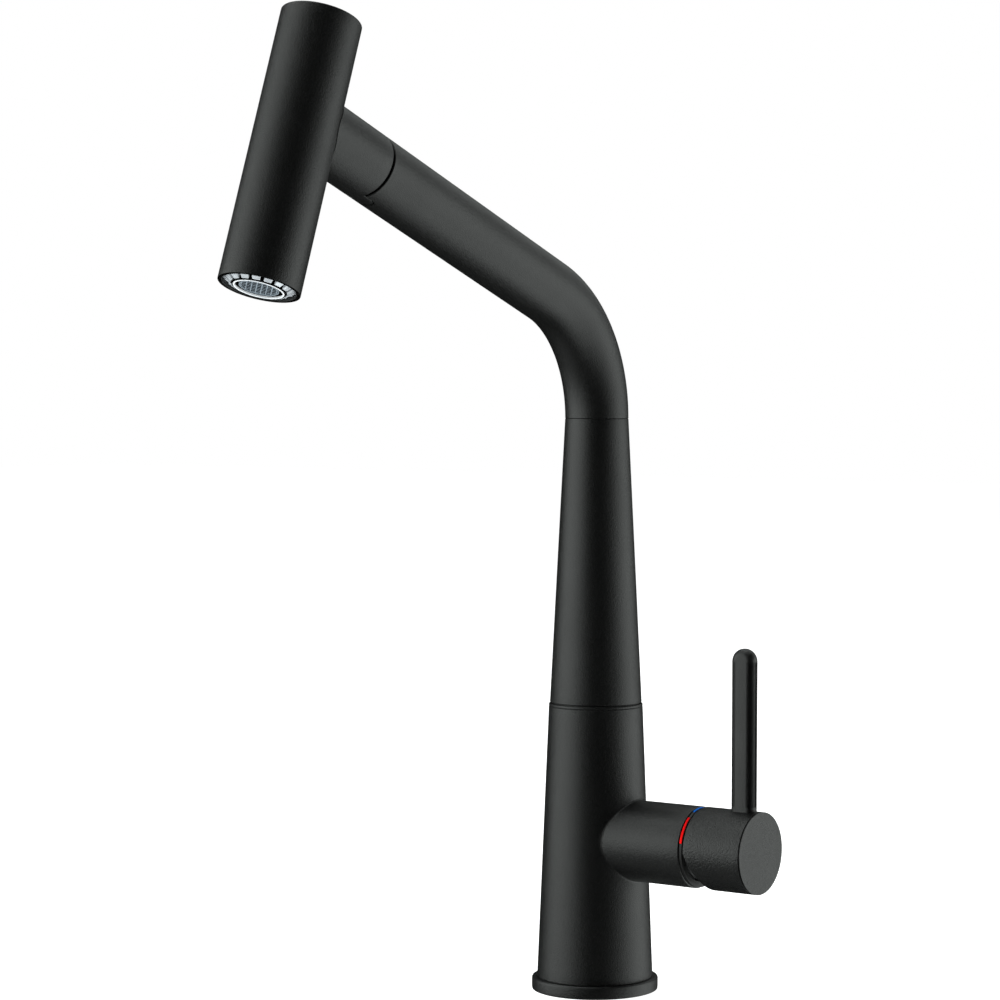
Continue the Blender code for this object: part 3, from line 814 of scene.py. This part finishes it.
def make_nozzle(mat, face):
    """The castellated ring of jets and the aerator inside it, in millimetres above the face."""
    place = M["head"]
    # The bed's thin wall from 9.2 to 9.5 mm is a black moulding and also painted shade: it keeps the gaps between
    # the lugs and the rim dark.
    bed = ((9.0, -12), (12.8, -12), (12.8, -2.6), (9.5, -2.6), (9.5, 0.1), (9.2, 0.6), (9.0, 0.6))
    bed = turned_part("nozzle_bed", bed, 0.05, place, face)
    mount(bed, "jet_selector", "black_plastic", mat["matt"])
    blocks = [lug(360 / LUGS * (i + 0.5), face) for i in range(LUGS)]
    # the crown's light satin tint is partly painted brightness in place of light from below
    crown = thing("nozzle_crown", together(blocks), place)
    mount(crown, "jet_selector", "chrome_face", mat["chrome"], "nozzle_ring")

    edge = ((12.95, -3), (13.2, -3), (13.2, -0.5), (14.25, -0.5), (14.25, 0), (12.95, 0))
    edge = turned_part("shell_lip", edge, 0.12, place, face)
    mount(edge, "spray", "black_plastic", mat["matt"])
    rim = ((8.3, -12), (8.92, -12), (8.92, 0.4), (8.75, 0.8), (8.3, 0.7))
    rim = turned_part("aerator_rim", rim, 0.15, place, face)
    # the rim's near-white colour is a painted highlight
    mount(rim, "spray", "chrome_face", mat["bright"], "aerator_housing")
    insert = turned_part("aerator_insert", ring_outline(7.0, 8.25, -6, 0.1), 0.15, place, face)
    mount(insert, "spray", "black_plastic", mat["matt"])
    lip = turned_part("aerator_lip", ring_outline(6.6, 6.9, -5, 0.3), 0.1, place, face)
    mount(lip, "spray", "chrome_face", mat["screen"])
    backing = ring_outline(0, 6.55, -5, -0.2)
    backing = turned_part("aerator_backing", backing, 0, place, face, sides=64)
    mount(backing, "spray", "black_plastic", mat["matt"])
    bars = lattice(6.5 * MM, face - 0.25 * MM, face + 0.15 * MM)
    # the screen's grey-blue tint is partly painted brightness
    mount(thing("aerator_mesh", bars, place), "spray", "steel", mat["screen"], "aerator_screen")


def lug(middle, face):
    """One raised block of the jet ring, steep near the aerator and low outside, with a jet."""
    gap, steps = 0.65 * MM, 8
    profile = ((9.7, -3), (12.8, -3), (12.8, -1.5), (11.4, -0.75), (10.1, 0.3), (9.7, 0.3))
    centre = math.radians(middle)
    bm = bmesh.new()
    slices = []
    for i in range(steps + 1):
        corners = []
        for radius, height in profile:
            half = math.pi / LUGS - gap / (radius * MM)
            a = centre + half * (2 * i / steps - 1)
            place = (radius * MM * math.cos(a), radius * MM * math.sin(a), face + height * MM)
            corners.append(bm.verts.new(place))
        slices.append(corners)
    bevelled(skinned(bm, slices), 0.22 * MM)
    jet_low, jet_high, jet_ring = -1.6 * MM, -0.6 * MM, 11.5 * MM
    jet = lathe([(0, jet_low), (0.6 * MM, jet_low), (0.45 * MM, jet_high), (0, jet_high)], 20)
    moved(jet, jet_ring * math.cos(centre), jet_ring * math.sin(centre), face)
    return together([bm, jet])


def lattice(limit, low, high):
    """A round grid of crossed bars, those of one direction lower than the others."""
    half_bar, pitch, shortest = 0.19 * MM, 1.75 * MM, 0.5 * MM
    lower_top, lower_foot, skew = 0.23 * MM, 0.1 * MM, math.radians(47)
    pieces = []
    for turn in (0.0, math.pi / 2):
        deep = low if turn else low - lower_foot
        tall = high if turn else high - lower_top
        count = int(limit / pitch) + 1
        for k in range(-count, count):
            x = (k + 0.5) * pitch
            half = math.sqrt(max(0.0, limit**2 - x * x))
            if half < shortest:
                continue
            bar = block((x - half_bar, -half, deep), (x + half_bar, half, tall))
            pieces.append(turned(bevelled(bar, 0.06 * MM, 2), turn + skew, "Z"))
    return together(pieces)


# Handle


def make_handle(mat):
    """The hub, with a groove round its end face, a slanted relief below and a screw plug."""
    r, start, end = M["branch_r"], M["cap_start"], M["cap_end"]
    bore, face_wall = r - 1.95 * MM, 3 * MM
    groove_start, groove_end, groove_depth = 0.2 * MM, 0.7 * MM, 0.45 * MM
    outline = [
        (0, end - face_wall),
        (bore, end - face_wall),
        (bore, start),
        (r, start),
        (r, end - groove_end),
        (r - groove_depth, end - groove_end),
        (r - groove_depth, end - groove_start),
        (r, end - groove_start),
        (r, end),
        (0, end),
    ]
    outline = softened(outline, mm(0, 0.3, 0.25, 0.35, 0.05, 0, 0, 0.05, 0.12, 0))
    cap = thing("handle_hub", lathe(outline, dense=3 * MM), M["branch"])
    slope, near, far, below = 7.0 * MM / r, -2 * MM, 20 * MM, start - 3 * MM
    relief = [(near, start + near * slope), (far, start + far * slope), (far, below), (near, below)]
    carve(cap, prism(relief, -far, far), M["branch"])
    plug_place = aimed((66 * MM, 0, M["branch_z"]), (0, 0, -1))
    hole_r, plug_r, plug_start, plug_end = 2.4 * MM, 2.3 * MM, 13.8 * MM, 15.5 * MM
    carve(cap, drill(hole_r, 12 * MM, 18 * MM), plug_place)
    round_edges(cap, 0.3 * MM)
    mount(cap, "handle", "matte_black_paint", mat["hub_paint"], "handle_cap")
    outline = softened(ring_outline(0, plug_r, plug_start, plug_end), 0.3 * MM)
    plug = thing("hub_plug", lathe(outline, 48), plug_place)
    mount(plug, "handle", "black_plastic", mat["black"], "screw_plug")


def make_lever(mat):
    """The lever bar: a flat bar with a half-round top and one soft rounding all round."""
    half, depth = M["lever_w"] / 2, M["lever_d"]
    low, shoulder = M["branch_z"] + 14.4 * MM, M["lever_top"] - half
    corner, corner_steps, top_steps = 2.6 * MM, 8, 40
    side = divided([(-half, low), (-half, shoulder)], 3 * MM)
    path = [(x, z, 1, 0) for x, z in side]
    for step in range(1, top_steps):
        a = math.radians(180 - 180 / top_steps * step)
        path.append((half * math.cos(a), shoulder + half * math.sin(a), -math.cos(a), -math.sin(a)))
    path += [(-x, z, -1, 0) for x, z in reversed(side)]
    profile = []
    for sign in (-1, 1):
        arc = []
        for step in range(corner_steps + 1):
            a = math.radians(90 / corner_steps * step)
            inset, rounding = corner * (1 - math.sin(a)), corner * (1 - math.cos(a))
            arc.append((inset, sign * (depth / 2 - rounding)))
        profile += arc if sign < 0 else arc[::-1]
    bm = bmesh.new()
    rings = []
    for inset, y in profile:
        rings.append([bm.verts.new((x + inset * nx, y, z + inset * nz)) for x, z, nx, nz in path])
    lever = thing("lever", skinned(bm, rings), Matrix.Translation((M["lever_x"], 0, 0)))
    mount(lever, "handle", "matte_black_paint", mat["lever_paint"], "lever_bar")


def make_index(mat):
    """The index ring with a blue and a red mark, and the dome under the hub's relief."""
    start, end = M["branch_end"] + 0.1 * MM, M["branch_end"] + 1.3 * MM
    ring = softened(ring_outline(13 * MM, 15.35 * MM, start, end), 0.15 * MM)
    ring = thing("index_ring_finish", lathe(ring), M["branch"])
    mount(ring, "mixer", "black_plastic", mat["black"], "index_ring")
    inner, outer, low, high = 15.2 * MM, 15.6 * MM, start + 0.1 * MM, end - 0.15 * MM
    marks = (("cold", "blue", 158.5, 200.5), ("hot", "red", 215.5, 257.5))
    for name, colour, first, last in marks:
        mark = bevelled(sector(inner, outer, low, high, first, last, steps=48), 0.1 * MM, 2)
        piece = thing(f"{name}_mark_inlay", mark, M["branch"])
        mount(piece, "mixer", f"{colour}_mark", mat[colour], f"{name}_mark")

    pivot, dome_r, dome_bore = M["pivot"], 12.9 * MM, 11.9 * MM
    skirt = pivot - 1.2 * MM
    arc = [math.radians(a) for a in range(90, 47, -3)]
    dome = [(dome_bore, skirt), (dome_r, skirt)]
    dome += [(dome_r * math.sin(a), pivot + dome_r * math.cos(a)) for a in arc]
    dome += [(dome_bore * math.sin(a), pivot + dome_bore * math.cos(a)) for a in reversed(arc)]
    dome = thing("shroud_dome", lathe(dome), M["branch"])
    mount(dome, "mixer", "matte_black_paint", mat["dome"], "cartridge_shroud")


# Under the worktop and inside


def make_stud(mat):
    """The threaded mounting stud with its hexagonal head, and its nut."""
    low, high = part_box("mounting_stud")
    x, y = (low[0] + high[0]) / 2, (low[1] + high[1]) / 2
    r, pitch, head_r, head_h = 3.0 * MM, 1.0 * MM, 4.8 * MM, 3.2 * MM
    bottom, top = low[2], high[2] - head_h
    thread = ((0.5, 0.1), (0, 0.45), (0, 0.6), (0.5, 0.95))
    outline = [(0, bottom)]
    for i in range(int((top - bottom) / pitch)):
        z = bottom + i * pitch
        outline += [(r - inward * MM, z + up * MM) for inward, up in thread]
    outline += [(r, top), (0, top)]
    head = bevelled(drill(head_r, top, high[2], sides=6), 0.4 * MM)
    stud = thing("threaded_stud", moved(together([lathe(outline, 32), head]), x, y))
    mount(stud, "mixer", "steel", mat["steel"], "mounting_stud")

    nut_low, nut_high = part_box("stud_nut")
    nut = lathe(ring_outline(3.3 * MM, 5.8 * MM, nut_low[2], nut_high[2]), 6)
    nut = thing("hex_nut", moved(bevelled(nut, 0.5 * MM), x, y))
    mount(nut, "mixer", "brass", mat["brass"], "stud_nut")
    return x, y


def make_horseshoes(mat, stud_x, stud_y):
    """The gasket and washer, each a disc with an open bore and a hole for the stud."""
    bore_r, bore_y, stud_hole_r = 10 * MM, -1 * MM, 3.3 * MM
    slot_half, slot_end, slot_start = 9.85 * MM, -30 * MM, -1.2 * MM
    layers = (("horseshoe_gasket", "black_rubber", "rubber"), ("horseshoe_washer", "steel", "steel"))
    for node, slot, material in layers:
        low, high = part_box(node)
        deep, tall = low[2] - MM, high[2] + MM
        pad = thing(f"{node}_finish", drill(high[0], low[2], high[2], sides=96))
        carve(pad, drill(bore_r, deep, tall, sides=64), Matrix.Translation((0, bore_y, 0)))
        carve(pad, block((-slot_half, slot_end, deep), (slot_half, slot_start, tall)))
        hole_place = Matrix.Translation((stud_x, stud_y, 0))
        carve(pad, drill(stud_hole_r, deep, tall, sides=32), hole_place)
        round_edges(pad, 0.4 * MM)
        mount(pad, "mixer", slot, mat[material], node)


def dress_hidden(mat):
    """Better materials for the CAD nodes that stay, all of them inside."""
    slots = {row["node"]: row["material_slot"] for row in frame["record"]["subparts"]}
    by_slot = {
        "matte_black_paint": "paint",
        "black_plastic": "black",
        "white_plastic": "white",
        "black_rubber": "rubber",
        "steel": "steel",
        "brass": "brass",
        "ceramic": "ceramic",
        "chrome_face": "chrome",
        "hose_braid": "braid",
        "red_mark": "red",
        "blue_mark": "blue",
    }
    for node, obj in frame["nodes"].items():
        material = mat[by_slot[slots[node]]]
        for i in range(len(obj.material_slots)):
            obj.material_slots[i].material = material


# Stage


def level_direction(azimuth):
    """The level direction from the object to a camera at an azimuth, which is 0 at -Y."""
    return Vector((math.sin(azimuth), -math.cos(azimuth), 0))


def make_camera():
    """A camera at the photograph's angle, with the shift that its framing needs."""
    pitch, roll, distance = math.radians(1.769), math.radians(0.207), 1.1516
    data = bpy.data.cameras.new("camera")
    data.lens = 104.95
    data.sensor_width = 36
    data.shift_x = -0.0966
    data.shift_y = -0.0161
    camera = bpy.data.objects.new("camera", data)
    back = level_direction(CAMERA_AZIMUTH) * math.cos(pitch) + Vector((0, 0, math.sin(pitch)))
    upright = Matrix.Rotation(math.pi / 2 - pitch, 4, "X")
    turn = Matrix.Rotation(CAMERA_AZIMUTH, 4, "Z") @ upright
    place = Matrix.Translation(MIDDLE + back * distance)
    camera.matrix_world = place @ turn @ Matrix.Rotation(roll, 4, "Z")
    bpy.context.scene.collection.objects.link(camera)
    bpy.context.scene.camera = camera


def panel(name, around, elevation, width, height, radiance):
    """A soft box that faces the object from an angle around it, in degrees from the camera."""
    distance = 1.6
    azimuth, up = CAMERA_AZIMUTH + math.radians(around), math.radians(elevation)
    direction = level_direction(azimuth) * math.cos(up) + Vector((0, 0, math.sin(up)))
    data = bpy.data.lights.new(name, "AREA")
    data.shape = "RECTANGLE"
    data.size = width
    data.size_y = height
    data.color = (0.95, 1.0, 0.975)
    data.energy = radiance * math.pi * width * height
    light = bpy.data.objects.new(name, data)
    facing = direction.to_track_quat("Z", "Y").to_matrix().to_4x4()
    light.matrix_world = Matrix.Translation(MIDDLE + direction * distance) @ facing
    light.visible_camera = False
    bpy.context.scene.collection.objects.link(light)


def make_lights():
    """Soft boxes at both sides, which give the coat its bright flanks and its dark middle."""
    panel("left_panel", around=-79, elevation=5, width=2.25, height=1.6, radiance=2.05)
    panel("left_high_panel", around=-95, elevation=60, width=1.8, height=1.3, radiance=1.3)
    panel("left_low_panel", around=-96, elevation=-48, width=1.7, height=1.2, radiance=0.3)
    panel("right_panel", around=95, elevation=-4, width=1.6, height=1.5, radiance=1.3)
    panel("right_wide_panel", around=92, elevation=-12, width=3.0, height=2.0, radiance=0.5)
    panel("right_low_panel", around=94, elevation=-60, width=1.9, height=1.6, radiance=1.5)
    panel("back_panel", around=145, elevation=30, width=1.4, height=0.9, radiance=0.6)
    panel("back_high_panel", around=-155, elevation=76, width=2.2, height=1.9, radiance=1.15)


def make_world():
    """White where the camera looks past the object, and a faint grey for everything else."""
    world = bpy.data.worlds.new("studio")
    bpy.context.scene.world = world
    world.use_nodes = True
    tree = world.node_tree
    background = tree.nodes["Background"]
    path = tree.nodes.new("ShaderNodeLightPath")
    mix = tree.nodes.new("ShaderNodeMix")
    mix.data_type = "RGBA"
    mix.inputs[MIX_A].default_value = (0.012, 0.012, 0.012, 1)
    mix.inputs[MIX_B].default_value = (1, 1, 1, 1)
    tree.links.new(path.outputs["Is Camera Ray"], mix.inputs[0])
    tree.links.new(mix.outputs[MIX_RESULT], background.inputs["Color"])


def make_floor():
    """A plain pale floor that glows, so that it is white and lights the nozzle from below."""
    bm = bmesh.new()
    bmesh.ops.create_grid(bm, x_segments=1, y_segments=1, size=6)
    floor = thing("floor", bm)
    floor.location.z = -0.02 * MM
    floor.visible_glossy = False
    floor.visible_shadow = False
    n = Nodes("pale_floor")
    n.tint(n.noise(3, 2), (0.88, 0.88, 0.88), (0.92, 0.92, 0.92))
    n.put(Roughness=0.9, Emission_Strength=1.0, Emission_Color=(1, 1, 1, 1))
    floor.data.materials.append(n.material)


materials = make_materials()
dress_hidden(materials)
make_base(materials)
make_body(materials)
make_washer(materials)
make_column(materials)
make_tube(materials)
make_neck(materials)
make_docking(materials)
make_hose(materials)
make_head(materials)
make_handle(materials)
make_lever(materials)
make_index(materials)
stud_x, stud_y = make_stud(materials)
make_horseshoes(materials, stud_x, stud_y)
make_camera()
make_lights()
make_world()
make_floor()
bpy.context.scene.view_settings.view_transform = "Standard"
bpy.context.scene.view_settings.look = "None"
